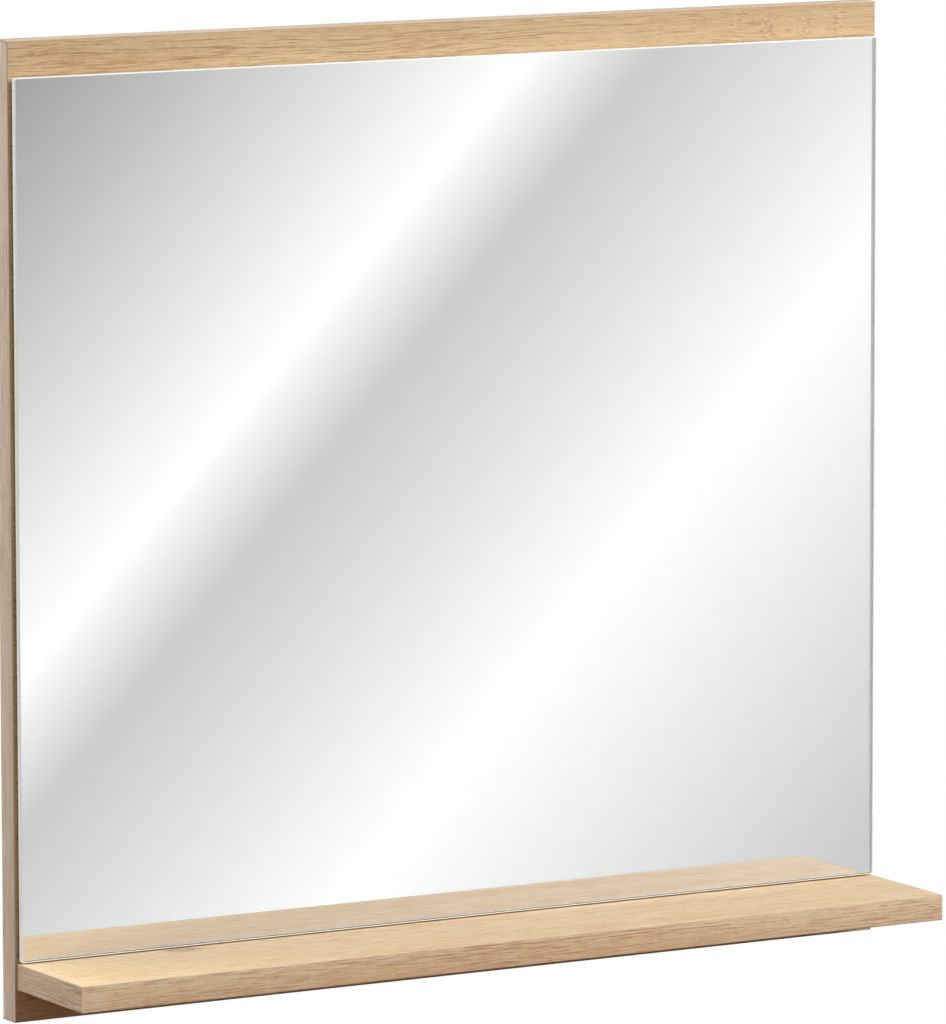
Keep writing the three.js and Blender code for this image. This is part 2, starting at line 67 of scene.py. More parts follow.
# Edge bands
BAND_ARRIS = 0.6 * MM
GLUE_FILL = 0.08 * MM  # how far a strip reaches into its glue line
ARRIS_STEPS = 5
ARRIS_SLANT = 0.05  # a strip's face that turns more than this to its side takes the arris tone
ARRIS_WEAR_AND_HIGHLIGHT = 0.7  # how far the rounded edges take the paler arris tone, partly wear and partly a painted highlight

# Mirror glass
GLASS_ARRIS = 0.65 * MM  # round the front
GLASS_SEAM = 0.5 * MM  # round the back
SEALED_MARGIN = 0.75 * MM  # from the glass's edge to just under the silvering
GLASS_CORNER = 1.2 * MM
SMALLEST_CORNER = 0.2 * MM
GLASS_CORNER_STEPS = 5

# Keyhole hanger plates
PLATE_CORNER = 4 * MM
PLATE_CORNER_STEPS = 10
PLATE_EDGE = 0.22 * MM
PLATE_EDGE_STEPS = 2
KEYHOLE_SLOT_RADIUS = 2.6 * MM
KEYHOLE_ENTRY_RADIUS = 5 * MM
KEYHOLE_RISE = 9 * MM
KEYHOLE_STEPS = 18  # round the slot's end; the entry has twice as many
HANG_LEVEL = 0.0
SINK_RADIUS = 3.55 * MM
SINK_THROAT = 1.85 * MM
SINK_DEPTH = 1.7 * MM
SINK_REACH = 3 * MM  # how far the cutter goes on past the sink at both ends

# Screws, each with its head as (radius, depth) from its top to where the thread starts
HANGER_SCREW = {
    "head": [(3.1 * MM, 0.0), (3.4 * MM, 0.12 * MM), (3.4 * MM, 0.3 * MM), (1.7 * MM, 1.7 * MM),
             (1.15 * MM, 2.5 * MM)],
    "length": 14 * MM,
    "tip": 2.4 * MM,
    "pitch": 1.6 * MM,
    "core": 1.15 * MM,
    "radius": 1.7 * MM,
}
CROSS_REACH = 1.6 * MM
CROSS_HALF_WIDTH = 0.36 * MM
CROSS_DEPTH = 1.1 * MM
CROSS_TAPER = 0.8
CROSS_TURN = 0.11
CONNECTOR_SCREW = {
    "head": [(4.7 * MM, 0.0), (5.0 * MM, 0.25 * MM), (5.0 * MM, 1.0 * MM), (3.5 * MM, 3.4 * MM),
             (3.5 * MM, 12.4 * MM), (2.4 * MM, 13.4 * MM)],
    "length": 50 * MM,
    "tip": 3.5 * MM,
    "pitch": 3.0 * MM,
    "core": 2.4 * MM,
    "radius": 3.5 * MM,
}
HEX_FLATS = 4 * MM
HEX_DEPTH = 2.6 * MM
HEX_TURN = 0.07
THREAD_STEPS = 20
THREAD_RINGS = 10  # in each turn of a thread
THREAD_SLOPE = 2.6  # of its flanks; above 2 a flat stays between two turns

# Wall bumpers
BUMPER_RADIUS = 6 * MM
BUMPER_HEIGHT = 2 * MM
BUMPER_EDGE = 0.9 * MM
BUMPER_EDGE_STEPS = 6
BUMPER_FOOT = 0.1 * MM  # the small bevel where it sticks to the panel

LATHE_STEPS = 48


# -------------------------------- node helpers

def add(tree, kind, inputs=None, **settings):
    """A node with its settings, its plain input values and its incoming links."""
    made = tree.nodes.new(kind)
    for key, value in settings.items():
        setattr(made, key, value)
    for key, value in (inputs or {}).items():
        if isinstance(value, bpy.types.NodeSocket):
            tree.links.new(value, made.inputs[key])
        else:
            made.inputs[key].default_value = value
    return made


def sum_up(tree, operation, *values):
    """One Math node's result."""
    return add(tree, "ShaderNodeMath", dict(enumerate(values)), operation=operation).outputs[0]


def vector_sum(tree, operation, *values):
    """One Vector Math node's vector."""
    made = add(tree, "ShaderNodeVectorMath", dict(enumerate(values)), operation=operation)
    return made.outputs["Vector"]


def times(tree, first, second):
    return sum_up(tree, "MULTIPLY", first, second)


def split_axes(tree, vector):
    """The vector's X, Y and Z by name."""
    return add(tree, "ShaderNodeSeparateXYZ", {0: vector}).outputs


def join_axes(tree, **axes):
    """The vector of the given X, Y and Z, with 0 for one that isn't given."""
    return add(tree, "ShaderNodeCombineXYZ", axes).outputs[0]


def feed(tree, node, links):
    """Links each socket to the named input of a node that stands already."""
    for name, socket in links.items():
        tree.links.new(socket, node.inputs[name])


def remap(tree, value, low, high, new_low=0.0, new_high=1.0, interpolation="SMOOTHSTEP"):
    """The value spread from one range over another."""
    inputs = {
        "Value": value,
        "From Min": low,
        "From Max": high,
        "To Min": new_low,
        "To Max": new_high,
    }
    made = add(tree, "ShaderNodeMapRange", inputs, interpolation_type=interpolation)
    return made.outputs["Result"]


def blend_colors(tree, share, first, second, blend_type="MIX"):
    inputs = {0: share, 6: first, 7: second}
    made = add(tree, "ShaderNodeMix", inputs, data_type="RGBA", blend_type=blend_type)
    return made.outputs[2]


def noise(tree, place, stretch, detail=2.0):
    """Noise whose grains are 1/stretch long along each axis, in metres."""
    spread = vector_sum(tree, "MULTIPLY", place, stretch)
    inputs = {"Vector": spread, "Scale": 1.0, "Detail": detail, "Roughness": 0.55}
    return add(tree, "ShaderNodeTexNoise", inputs).outputs["Fac"]


def new_group(name, kind, inputs, outputs):
    """A node group with its named sockets: (tree, its input node, its output node)."""
    tree = bpy.data.node_groups.new(name, kind)
    for socket, (socket_kind, value) in inputs.items():
        made = tree.interface.new_socket(socket, in_out="INPUT", socket_type=socket_kind)
        if value is not None:
            made.default_value = value
    for socket, socket_kind in outputs.items():
        tree.interface.new_socket(socket, in_out="OUTPUT", socket_type=socket_kind)
    return tree, tree.nodes.new("NodeGroupInput"), tree.nodes.new("NodeGroupOutput")


def place_group(tree, group, inputs):
    return add(tree, "ShaderNodeGroup", inputs, node_tree=group)


FLOAT = "NodeSocketFloat"
COLOR = "NodeSocketColor"
VECTOR = "NodeSocketVector"
COUNT = "NodeSocketInt"
GEOMETRY = "NodeSocketGeometry"
PIECE = "NodeSocketObject"
FINISH = "NodeSocketMaterial"


def srgb(red, green, blue):
    """A colour given as it looks on screen, 0 to 255, as the linear colour that nodes take."""
    def linear(level):
        share = level / 255
        return share / 12.92 if share <= 0.04045 else ((share + 0.055) / 1.055) ** 2.4
    return (linear(red), linear(green), linear(blue), 1.0)


# -------------------------------- shared effects

KNOT_SQUEEZE = (0.5, 1, 0)  # a knot's figure is twice as long along the grain as across it
FIBRES_ACROSS = 1000.0  # in a metre

# The arcs of flecks beside a knot, in multiples of the knot's size
ARC_GAP = 1.7
FIRST_ARC = 1.3
ARC_START = math.pi / 2 - 2 * math.pi * FIRST_ARC / ARC_GAP


def oak_grain_effect():
    """Oak decor: soft patches, wavering growth rings, dark and pale streaks, pores, flecks, a knot.

    Place is (along the grain, across it, through the board) in metres.
    """
    inputs = {
        "Place": (VECTOR, None),
        "Pale": (COLOR, (0.7, 0.5, 0.3, 1)),
        "Warm": (COLOR, (0.6, 0.4, 0.25, 1)),
        "Dark": (COLOR, (0.4, 0.25, 0.13, 1)),
        "Fleck": (COLOR, (0.85, 0.7, 0.5, 1)),
        "Ring Gap": (FLOAT, 0.0035),
        "Rings": (FLOAT, 0.3),
        "Streaks": (FLOAT, 0.4),
        "Pale Streaks": (FLOAT, 0.25),
        "Streak Length": (FLOAT, 0.025),
        "Pores": (FLOAT, 0.4),
        "Waver": (FLOAT, 0.004),
        "Knot Place": (VECTOR, (9.0, 9.0, 0.0)),
        "Knot Size": (FLOAT, 0.02),
        "Knot Color": (COLOR, (0.4, 0.25, 0.13, 1)),
        "Knot Tone": (FLOAT, 0.3),
    }
    outputs = {"Color": COLOR, "Height": FLOAT, "Roughness": FLOAT}
    tree, given, result = new_group("oak grain", "ShaderNodeTree", inputs, outputs)
    value = given.outputs
    place = value["Place"]

    # The grain lines waver slowly and part round the knot, as water does round a stone.
    axes = split_axes(tree, place)
    from_knot = vector_sum(tree, "SUBTRACT", place, value["Knot Place"])
    squeezed = vector_sum(tree, "MULTIPLY", from_knot, KNOT_SQUEEZE)
    distance = add(tree, "ShaderNodeVectorMath", {0: squeezed}, operation="LENGTH").outputs["Value"]
    ratio = sum_up(tree, "DIVIDE", distance, value["Knot Size"])
    ratio_squared = sum_up(tree, "ADD", times(tree, ratio, ratio), 0.3)
    parting = sum_up(tree, "DIVIDE", -1.0, ratio_squared)
    from_middle = split_axes(tree, from_knot)["Y"]
    parted = sum_up(tree, "MULTIPLY_ADD", from_middle, parting, axes["Y"])
    slow = noise(tree, place, (5, 30, 30))
    waver = times(tree, sum_up(tree, "SUBTRACT", slow, 0.5), value["Waver"])
    across = sum_up(tree, "ADD", parted, waver)
    line = join_axes(tree, X=axes["X"], Y=across, Z=axes["Z"])

    patches = remap(tree, noise(tree, line, (3, 24, 24), 3.0), 0.35, 0.65)

    wander = times(tree, noise(tree, line, (6, 60, 60)), 3.0)
    turns = sum_up(tree, "ADD", sum_up(tree, "DIVIDE", across, value["Ring Gap"]), wander)
    from_ring = sum_up(tree, "ABSOLUTE", sum_up(tree, "SUBTRACT", sum_up(tree, "FRACT", turns), 0.5))
    ring = remap(tree, from_ring, 0.36, 0.5)
    broken = remap(tree, noise(tree, line, (14, 260, 260)), 0.42, 0.60)
    rings = times(tree, ring, broken)

    fibre_rate = sum_up(tree, "DIVIDE", 1.0, value["Streak Length"])
    fibre_stretch = join_axes(tree, X=fibre_rate, Y=FIBRES_ACROSS, Z=FIBRES_ACROSS)
    fibres = noise(tree, line, fibre_stretch)
    gathered = remap(tree, noise(tree, line, (7, 80, 80)), 0.40, 0.62, 0.25, 1.0)
    streaks = times(tree, remap(tree, fibres, 0.50, 0.62), gathered)
    pale_streaks = remap(tree, fibres, 0.47, 0.36)
    specks = noise(tree, line, (150, 1700, 1700), 1.0)
    pores = remap(tree, sum_up(tree, "MULTIPLY_ADD", ring, 0.08, specks), 0.58, 0.68)

    # Pale and dark flecks, most of them in arcs to the left and the right of the knot
    arc_turns = sum_up(tree, "MULTIPLY_ADD", ratio, 2 * math.pi / ARC_GAP, ARC_START)
    arcs = remap(tree, sum_up(tree, "SINE", arc_turns), 0.1, 0.9)
    arcs = times(tree, arcs, remap(tree, ratio, 2.4, 4.2, 1.0, 0.0))
    along_knot = sum_up(tree, "ABSOLUTE", split_axes(tree, squeezed)["X"])
    beside = remap(tree, sum_up(tree, "DIVIDE", along_knot, distance), 0.35, 0.85)
    arcs = times(tree, arcs, beside)
    fleck_noise = noise(tree, place, (260, 1050, 1050), 1.0)
    pale_flecks = times(tree, remap(tree, fleck_noise, 0.55, 0.64), sum_up(tree, "ADD", arcs, 0.2))
    dark_flecks = times(tree, remap(tree, fleck_noise, 0.45, 0.36), arcs)

    ragged = sum_up(tree, "MULTIPLY_ADD", noise(tree, line, (60, 500, 500)), 1.6, ratio)
    heart = remap(tree, ragged, 1.2, 1.9, 1.0, 0.0)
    knot_heart = times(tree, heart, remap(tree, fibres, 0.62, 0.42, 0.35, 1.0))

    # Each mark of the decor, laid over the ground in this order: its mask, its strength, its tone
    marks = [
        (rings, value["Rings"], value["Dark"]),
        (streaks, value["Streaks"], value["Dark"]),
        (pores, value["Pores"], value["Dark"]),
        (dark_flecks, 0.35, value["Dark"]),
        (pale_streaks, value["Pale Streaks"], value["Fleck"]),
        (pale_flecks, 0.7, value["Fleck"]),
        (knot_heart, value["Knot Tone"], value["Knot Color"]),
    ]
    color = blend_colors(tree, patches, value["Pale"], value["Warm"])
    for mask, strength, tone in marks:
        color = blend_colors(tree, times(tree, mask, strength), color, tone)

    sunk = sum_up(tree, "ADD", times(tree, streaks, 0.5), pores)
    feed(tree, result, {
        "Color": color,
        "Height": sum_up(tree, "SUBTRACT", 1.0, sunk),
        "Roughness": remap(tree, sunk, 0.0, 1.5, 0.46, 0.66),
    })
    return tree


def crumb_effect():
    """Pressed wood chips, foam cells or rubber specks: cells of two tones with a height."""
    inputs = {
        "Place": (VECTOR, None),
        "Cell Size": (FLOAT, 0.002),
        "Light": (COLOR, (0.7, 0.6, 0.45, 1)),
        "Dark": (COLOR, (0.4, 0.3, 0.2, 1)),
    }
    outputs = {"Color": COLOR, "Height": FLOAT}
    tree, given, result = new_group("crumb", "ShaderNodeTree", inputs, outputs)
    scale = sum_up(tree, "DIVIDE", 1.0, given.outputs["Cell Size"])
    cells = add(tree, "ShaderNodeTexVoronoi", {"Vector": given.outputs["Place"], "Scale": scale})
    tone = add(tree, "ShaderNodeSeparateColor", {0: cells.outputs["Color"]}).outputs[0]
    color = blend_colors(tree, tone, given.outputs["Light"], given.outputs["Dark"])
    feed(tree, result, {"Color": color, "Height": cells.outputs["Distance"]})
    return tree


def handling_effect():
    """Fine rubbing on metal, glass, lacquer and paint: a tone near 1, a roughness and a height."""
    inputs = {
        "Place": (VECTOR, None),
        "Grain": (FLOAT, 900.0),
        "Tone Spread": (FLOAT, 0.1),
        "Smooth": (FLOAT, 0.25),
        "Rough": (FLOAT, 0.4),
    }
    outputs = {"Tone": FLOAT, "Roughness": FLOAT, "Height": FLOAT}
    tree, given, result = new_group("handling", "ShaderNodeTree", inputs, outputs)
    value = given.outputs
    fine = add(tree, "ShaderNodeTexNoise",
               {"Vector": value["Place"], "Scale": value["Grain"], "Detail": 3.0}).outputs["Fac"]
    broad_scale = times(tree, value["Grain"], 0.12)
    broad = add(tree, "ShaderNodeTexNoise",
                {"Vector": value["Place"], "Scale": broad_scale, "Detail": 2.0}).outputs["Fac"]
    uneven = times(tree, sum_up(tree, "SUBTRACT", broad, 0.5), value["Tone Spread"])
    feed(tree, result, {
        "Tone": sum_up(tree, "ADD", 1.0, uneven),
        "Roughness": remap(tree, fine, 0.0, 1.0, value["Smooth"], value["Rough"], "LINEAR"),
        "Height": fine,
    })
    return tree


OAK_GRAIN = oak_grain_effect()
CRUMB = crumb_effect()
HANDLING = handling_effect()


# -------------------------------- finishes

def empty_material(name):
    """A material without nodes: (material, its tree)."""
    material = bpy.data.materials.new(name)
    material.use_nodes = True
    material.node_tree.nodes.clear()
    return material, material.node_tree


def new_material(name, **plain):
    """A Principled material: (material, its tree, its shader, its Object coordinates)."""
    material, tree = empty_material(name)
    shader = add(tree, "ShaderNodeBsdfPrincipled", plain)
    add(tree, "ShaderNodeOutputMaterial", {"Surface": shader.outputs["BSDF"]})
    place = add(tree, "ShaderNodeTexCoord").outputs["Object"]
    return material, tree, shader, place


def set_bump(tree, shader, height, depth, strength):
    inputs = {"Height": height, "Distance": depth, "Strength": strength}
    feed(tree, shader, {"Normal": add(tree, "ShaderNodeBump", inputs).outputs["Normal"]})


def toned(tree, color, rub):
    """The colour, uneven as the rubbing leaves it."""
    return blend_colors(tree, 1.0, color, rub.outputs["Tone"], "MULTIPLY")


OAK_GLOSS = 0.25  # the matt decor's gloss, where 0.5 is a plain lacquer
OAK_RELIEF = 0.05 * MM
DECOR_SKIN = 0.05 * MM
GLASS_IOR = 1.52
CHIPS = {"Cell Size": 1.6 * MM, "Light": srgb(205, 178, 135), "Dark": srgb(140, 105, 66)}


def wear_oak(tree, shader, grain, color):
    """Gives the shader an oak grain's colour, roughness and relief."""
    feed(tree, shader, {"Base Color": color, "Roughness": grain.outputs["Roughness"]})
    set_bump(tree, shader, grain.outputs["Height"], OAK_RELIEF, 0.5)


def board_finish(name, node, faces_along, tones, knot):
    """Oak decor on the two faces that look along the named axis, raw chipboard in all holes."""
    material, tree, shader, place = new_material(name, **{"Specular IOR Level": OAK_GLOSS})
    axes = split_axes(tree, place)
    across, through = ("Z", "Y") if faces_along == "Y" else ("Y", "Z")
    grain_place = join_axes(tree, X=axes["X"], Y=axes[across], Z=axes[through])
    grain = place_group(tree, OAK_GRAIN, {"Place": grain_place, **tones, **knot})
    chips = place_group(tree, CRUMB, {"Place": place, **CHIPS})

    low, high = (corner["XYZ".index(faces_along)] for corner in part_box(node))
    depth = axes[faces_along]
    above = sum_up(tree, "GREATER_THAN", depth, low + DECOR_SKIN)
    below = sum_up(tree, "LESS_THAN", depth, high - DECOR_SKIN)
    inside = times(tree, above, below)
    color = blend_colors(tree, inside, grain.outputs["Color"], chips.outputs["Color"])
    wear_oak(tree, shader, grain, color)
    return material


def band_finish(name, tones):
    """Oak edge band: grain along the strip, read from its own band_place attribute."""
    material, tree, shader, _ = new_material(name, **{"Specular IOR Level": OAK_GLOSS})
    place = add(tree, "ShaderNodeAttribute", attribute_name="band_place").outputs["Vector"]
    grain = place_group(tree, OAK_GRAIN, {"Place": place, **tones})
    arris = add(tree, "ShaderNodeAttribute", attribute_name="band_arris").outputs["Fac"]
    # The rounded edges take a paler tone: partly wear, partly a painted highlight.
    worn_and_lit = times(tree, arris, ARRIS_WEAR_AND_HIGHLIGHT)
    color = blend_colors(tree, worn_and_lit, grain.outputs["Color"], ARRIS_WORN_AND_LIT_TONE)
    wear_oak(tree, shader, grain, color)
    return material


def polished_glass():
    material, tree, shader, place = new_material("polished float glass", **{
        "Base Color": (1.0, 1.0, 1.0, 1.0),
        "Transmission Weight": 1.0,
        "IOR": GLASS_IOR,
    })
    rub = place_group(tree, HANDLING, {"Place": place, "Grain": 60.0, "Smooth": 0.0, "Rough": 0.002})
    feed(tree, shader, {"Roughness": rub.outputs["Roughness"]})
    return material


# Painted glow: the ground edges emit light as though the sheet gathered daylight and let it out
# there, and most at its foot
EDGE_PAINTED_GLOW = 0.31
FOOT_PAINTED_GLOW = 0.5


def ground_glass(name, tone, glow):
    # The emission is a painted glow; the glass is no lamp.
    material, tree, shader, place = new_material(name, **{
        "Transmission Weight": 0.3,
        "IOR": GLASS_IOR,
        "Emission Color": (0.94, 0.96, 0.93, 1.0),
        "Emission Strength": glow,
    })
    values = {"Place": place, "Grain": 2500.0, "Tone Spread": 0.1, "Smooth": 0.1, "Rough": 0.3}
    rub = place_group(tree, HANDLING, values)
    feed(tree, shader, {"Base Color": toned(tree, tone, rub), "Roughness": rub.outputs["Roughness"]})
    set_bump(tree, shader, rub.outputs["Height"], 0.02 * MM, 0.4)
    return material


def sealing_finish(name, tone):
    """The lacquer that seals the glass's back round the silvering, and its foot."""
    material, tree, shader, place = new_material(name, Roughness=0.6)
    rub = place_group(tree, HANDLING, {"Place": place, "Tone Spread": 0.2})
    feed(tree, shader, {"Base Color": toned(tree, tone, rub)})
    return material


SILVER = (0.78, 0.785, 0.785, 1.0)
BACK_PAINT = srgb(126, 130, 132)


def silvering_finish():
    """Mirror metal to the front and grey protective paint to the back."""
    material, tree, shader, place = new_material("silvering")
    low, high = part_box("mirror_silvering")
    front = sum_up(tree, "LESS_THAN", split_axes(tree, place)["Y"], (low.y + high.y) / 2)
    rub = place_group(tree, HANDLING, {"Place": place, "Tone Spread": 0.12})
    feed(tree, shader, {
        "Base Color": blend_colors(tree, front, toned(tree, BACK_PAINT, rub), SILVER),
        "Metallic": front,
        "Roughness": remap(tree, front, 0.0, 1.0, 0.5, 0.0, "LINEAR"),
    })
    return material


def metal_finish(name, color, smooth, rough):
    material, tree, shader, place = new_material(name, Metallic=1.0)
    values = {"Place": place, "Tone Spread": 0.25, "Smooth": smooth, "Rough": rough}
    rub = place_group(tree, HANDLING, values)
    feed(tree, shader, {"Base Color": toned(tree, color, rub), "Roughness": rub.outputs["Roughness"]})
    set_bump(tree, shader, rub.outputs["Height"], 0.01 * MM, 0.25)
    return material


def crumb_finish(name, cell, light, dark, roughness, depth):
    material, tree, shader, place = new_material(name, Roughness=roughness)
    values = {"Place": place, "Cell Size": cell, "Light": light, "Dark": dark}
    cells = place_group(tree, CRUMB, values)
    feed(tree, shader, {"Base Color": cells.outputs["Color"]})
    set_bump(tree, shader, cells.outputs["Height"], depth, 0.5)
    return material


def beech_finish():
    material, tree, shader, place = new_material("raw beech")
    axes = split_axes(tree, place)
    values = {
        "Place": join_axes(tree, X=axes["Y"], Y=axes["X"], Z=axes["Z"]),
        "Pale": srgb(226, 196, 154),
        "Warm": srgb(214, 178, 134),
        "Dark": srgb(168, 124, 82),
        "Rings": 0.2,
        "Streaks": 0.3,
    }
    grain = place_group(tree, OAK_GRAIN, values)
    feed(tree, shader, {
        "Base Color": grain.outputs["Color"],
        "Roughness": grain.outputs["Roughness"],
    })
    return material


# Oak tones: the boards' decor and the bands differ, as they do on such furniture. The panel's top
# band is toned darker and its side bands greyer, as painted shade.
PANEL_TONES = {
    "Pale": srgb(244, 211, 166),
    "Warm": srgb(228, 188, 142),
    "Dark": srgb(150, 86, 26),
    "Fleck": srgb(252, 228, 196),
    "Ring Gap": 0.0052,
    "Rings": 0.34,
    "Streaks": 0.36,
    "Pale Streaks": 0.34,
    "Streak Length": 0.021,
    "Pores": 0.24,
    "Waver": 0.014,
}
SHELF_TONES = {
    "Pale": srgb(250, 222, 180),
    "Warm": srgb(240, 206, 160),
    "Dark": srgb(190, 138, 82),
    "Fleck": srgb(253, 236, 210),
    "Ring Gap": 0.006,
    "Rings": 0.14,
    "Streaks": 0.42,
    "Pale Streaks": 0.40,
    "Streak Length": 0.015,
    "Pores": 0.36,
    "Waver": 0.012,
}
FRONT_BAND_TONES = {
    "Pale": srgb(255, 224, 184),
    "Warm": srgb(248, 208, 164),
    "Dark": srgb(152, 86, 36),
    "Fleck": srgb(255, 238, 214),
    "Ring Gap": 0.0023,
    "Rings": 0.50,
    "Streaks": 0.44,
    "Pale Streaks": 0.56,
    "Streak Length": 0.020,
    "Pores": 0.26,
    "Waver": 0.006,
}
# Greyer and pinker than the other bands: painted shade on the panel's sides.
SIDE_BAND_SHADED_TONES = {
    "Pale": srgb(229, 211, 193),
    "Warm": srgb(215, 194, 173),
    "Dark": srgb(146, 110, 78),
    "Fleck": srgb(238, 222, 206),
    "Ring Gap": 0.0026,
    "Rings": 0.36,
    "Streaks": 0.36,
    "Pale Streaks": 0.35,
    "Pores": 0.26,
    "Waver": 0.006,
}
# Darker than the side bands as painted shade, for a face lit strongly from above.
TOP_BAND_SHADED_TONES = {**SIDE_BAND_SHADED_TONES, "Pale": srgb(206, 183, 156), "Warm": srgb(193, 168, 139)}
END_BAND_TONES = {
    **SIDE_BAND_SHADED_TONES,
    "Pale": srgb(224, 196, 166),
    "Warm": srgb(205, 175, 143),
    "Streaks": 0.5,
    "Pale Streaks": 0.5,
    "Streak Length": 0.028,
}
# The arris tone: a worn edge and a painted highlight in one.
ARRIS_WORN_AND_LIT_TONE = srgb(228, 202, 168)

# Knots: the middle of the ring figure, on the panel and on the shelf
PANEL_KNOT = {
    "Knot Place": (0.236, 0.0465, 0.0),
    "Knot Size": 0.0064,
    "Knot Color": srgb(246, 213, 168),
    "Knot Tone": 0.6,
}
SHELF_KNOT = {
    "Knot Place": (-0.194, -0.0285, 0.0),
    "Knot Size": 0.0068,
    "Knot Color": srgb(122, 80, 44),
    "Knot Tone": 0.75,
}


def all_finishes():
    return {
        "panel": board_finish("oak decor, panel", "panel_core", "Y", PANEL_TONES, PANEL_KNOT),
        "shelf": board_finish("oak decor, shelf", "shelf_core", "Z", SHELF_TONES, SHELF_KNOT),
        "side band, painted shade": band_finish("oak band, panel sides, painted shade", SIDE_BAND_SHADED_TONES),
        "top band, painted shade": band_finish("oak band, panel top, painted shade", TOP_BAND_SHADED_TONES),
        "front band": band_finish("oak band, shelf front", FRONT_BAND_TONES),
        "end band": band_finish("oak band, shelf ends", END_BAND_TONES),
        "glass": polished_glass(),
        # Both ground finishes glow as painted light; the foot's whiter tone and stronger glow paint a
        # bright line along the glass's foot.
        "glass edge": ground_glass("ground glass edge, painted glow", srgb(228, 229, 220), EDGE_PAINTED_GLOW),
        "glass foot": ground_glass("ground glass foot, painted glow", srgb(246, 247, 242), FOOT_PAINTED_GLOW),
        # One lacquer in two tones: grey as painted shade at the top and foot, pale as painted light
        # at the sides and lower edge.
        "end sealing, painted shade": sealing_finish("grey sealing lacquer, painted shade", srgb(142, 133, 120)),
        "side sealing, painted light": sealing_finish("pale sealing lacquer, painted light", srgb(238, 236, 228)),
        "silver": silvering_finish(),
        "foam": crumb_finish("foam tape", 0.5 * MM, srgb(238, 236, 230), srgb(222, 219, 211),
                             0.9, 0.05 * MM),
        "adhesive": crumb_finish("mirror adhesive", 3 * MM, srgb(192, 190, 183),
                                 srgb(176, 173, 165), 0.55, 0.1 * MM),
        "yellow zinc": metal_finish("yellow zinc", srgb(214, 186, 110), 0.25, 0.45),
        "bright zinc": metal_finish("bright zinc", srgb(206, 208, 210), 0.22, 0.42),
        "beech": beech_finish(),
        "rubber": crumb_finish("clear bumper rubber", 0.8 * MM, srgb(222, 224, 221),
                               srgb(208, 211, 208), 0.32, 0.01 * MM),
    }


# -------------------------------- mesh helpers

def new_object(name, data):
    made = bpy.data.objects.new(name, data)
    bpy.context.scene.collection.objects.link(made)
    return made


def mesh_from(name, vertices, faces):
    mesh = bpy.data.meshes.new(name)
    mesh.from_pydata([tuple(v) for v in vertices], [], faces)
    mesh.validate()
    return mesh


def soften(mesh, angle):
    """Smooth shading with edges sharper than the angle kept crisp."""
    mesh.shade_smooth()
    mesh.set_sharp_from_angle(angle=math.radians(angle))


def point_out(mesh):
    """Welds doubles and turns every face outwards."""
    shape = bmesh.new()
    shape.from_mesh(mesh)
    bmesh.ops.remove_doubles(shape, verts=shape.verts, dist=1e-6)
    bmesh.ops.recalc_face_normals(shape, faces=shape.faces)
    shape.to_mesh(mesh)
    shape.free()


def finished_mesh(piece):
    """A new mesh of the piece as its modifiers or its curve settings make it."""
    view = bpy.context.evaluated_depsgraph_get()
    return bpy.data.meshes.new_from_object(piece.evaluated_get(view), depsgraph=view)


def keep_finished(piece):
    """Puts the finished mesh in place of the piece's modifiers and its own mesh."""
    finished = finished_mesh(piece)
    piece.modifiers.clear()
    piece.data = finished


def weigh_normals(piece):
    """Keeps large flat faces flat where small rounded edges meet them."""
    modifier = piece.modifiers.new("flat faces", "WEIGHTED_NORMAL")
    modifier.keep_sharp = True
    keep_finished(piece)


def pointed_solid(name, vertices, steps):
    """A closed mesh: one point, rings of so many steps each, one point."""
    last = len(vertices) - 1
    faces = []
    for step in range(steps):
        following = (step + 1) % steps
        faces.append((0, 1 + step, 1 + following))
        for a in range(1, last - steps, steps):
            b = a + steps
            faces.append((a + step, b + step, b + following, a + following))
        faces.append((last, last - steps + following, last - steps + step))
    mesh = mesh_from(name, vertices, faces)
    point_out(mesh)
    return mesh


def stacked_solid(name, vertices, count):
    """A closed mesh: rings of so many points each, with a flat face at both ends."""
    total = len(vertices)
    faces = [tuple(range(count)), tuple(range(total - 1, total - 1 - count, -1))]
    for ring in range(0, total - count, count):
        for step in range(count):
            a = ring + step
            b = ring + (step + 1) % count
            faces.append((a, b, b + count, a + count))
    mesh = mesh_from(name, vertices, faces)
    point_out(mesh)
    return mesh


def lathe(name, profile):
    """A solid turned round the Y axis from (radius, y) points that start and end on the axis."""
    vertices = [(0.0, profile[0][1], 0.0)]
    for radius, y in profile[1:-1]:
        vertices += [(x, y, z) for x, z in polygon(LATHE_STEPS, radius, 0.0)]
    vertices.append((0.0, profile[-1][1], 0.0))
    return pointed_solid(name, vertices, LATHE_STEPS)


def polygon(sides, radius, turn):
    angles = [2 * math.pi * step / sides + turn for step in range(sides)]
    return [(radius * math.cos(angle), radius * math.sin(angle)) for angle in angles]


def rounded_rectangle(half_width, half_height, radius, steps):
    """Corner points of a rectangle with round corners, anticlockwise from the right side."""
    points = []
    corners = [(1, 1), (-1, 1), (-1, -1), (1, -1)]
    for quarter, (side, end) in enumerate(corners):
        for step in range(steps + 1):
            angle = (quarter + step / steps) * math.pi / 2
            x = side * (half_width - radius) + radius * math.cos(angle)
            z = end * (half_height - radius) + radius * math.sin(angle)
            points.append((x, z))
    return points


def give(piece, slot_name, *nodes):
    """Sets a finished piece in the frame: its body and the nodes it replaces. Its slot name is not
    used.
    """
    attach(piece, BODY)
    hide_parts(*nodes)


def end_tree(tree, result, geometry, material):
    """Ends a Geometry Nodes tree in whole geometry that wears its finish."""
    whole = add(tree, "GeometryNodeRealizeInstances", {"Geometry": geometry})
    inputs = {"Geometry": whole.outputs["Geometry"], "Material": material}
    dressed = add(tree, "GeometryNodeSetMaterial", inputs)
    feed(tree, result, {"Geometry": dressed.outputs["Geometry"]})


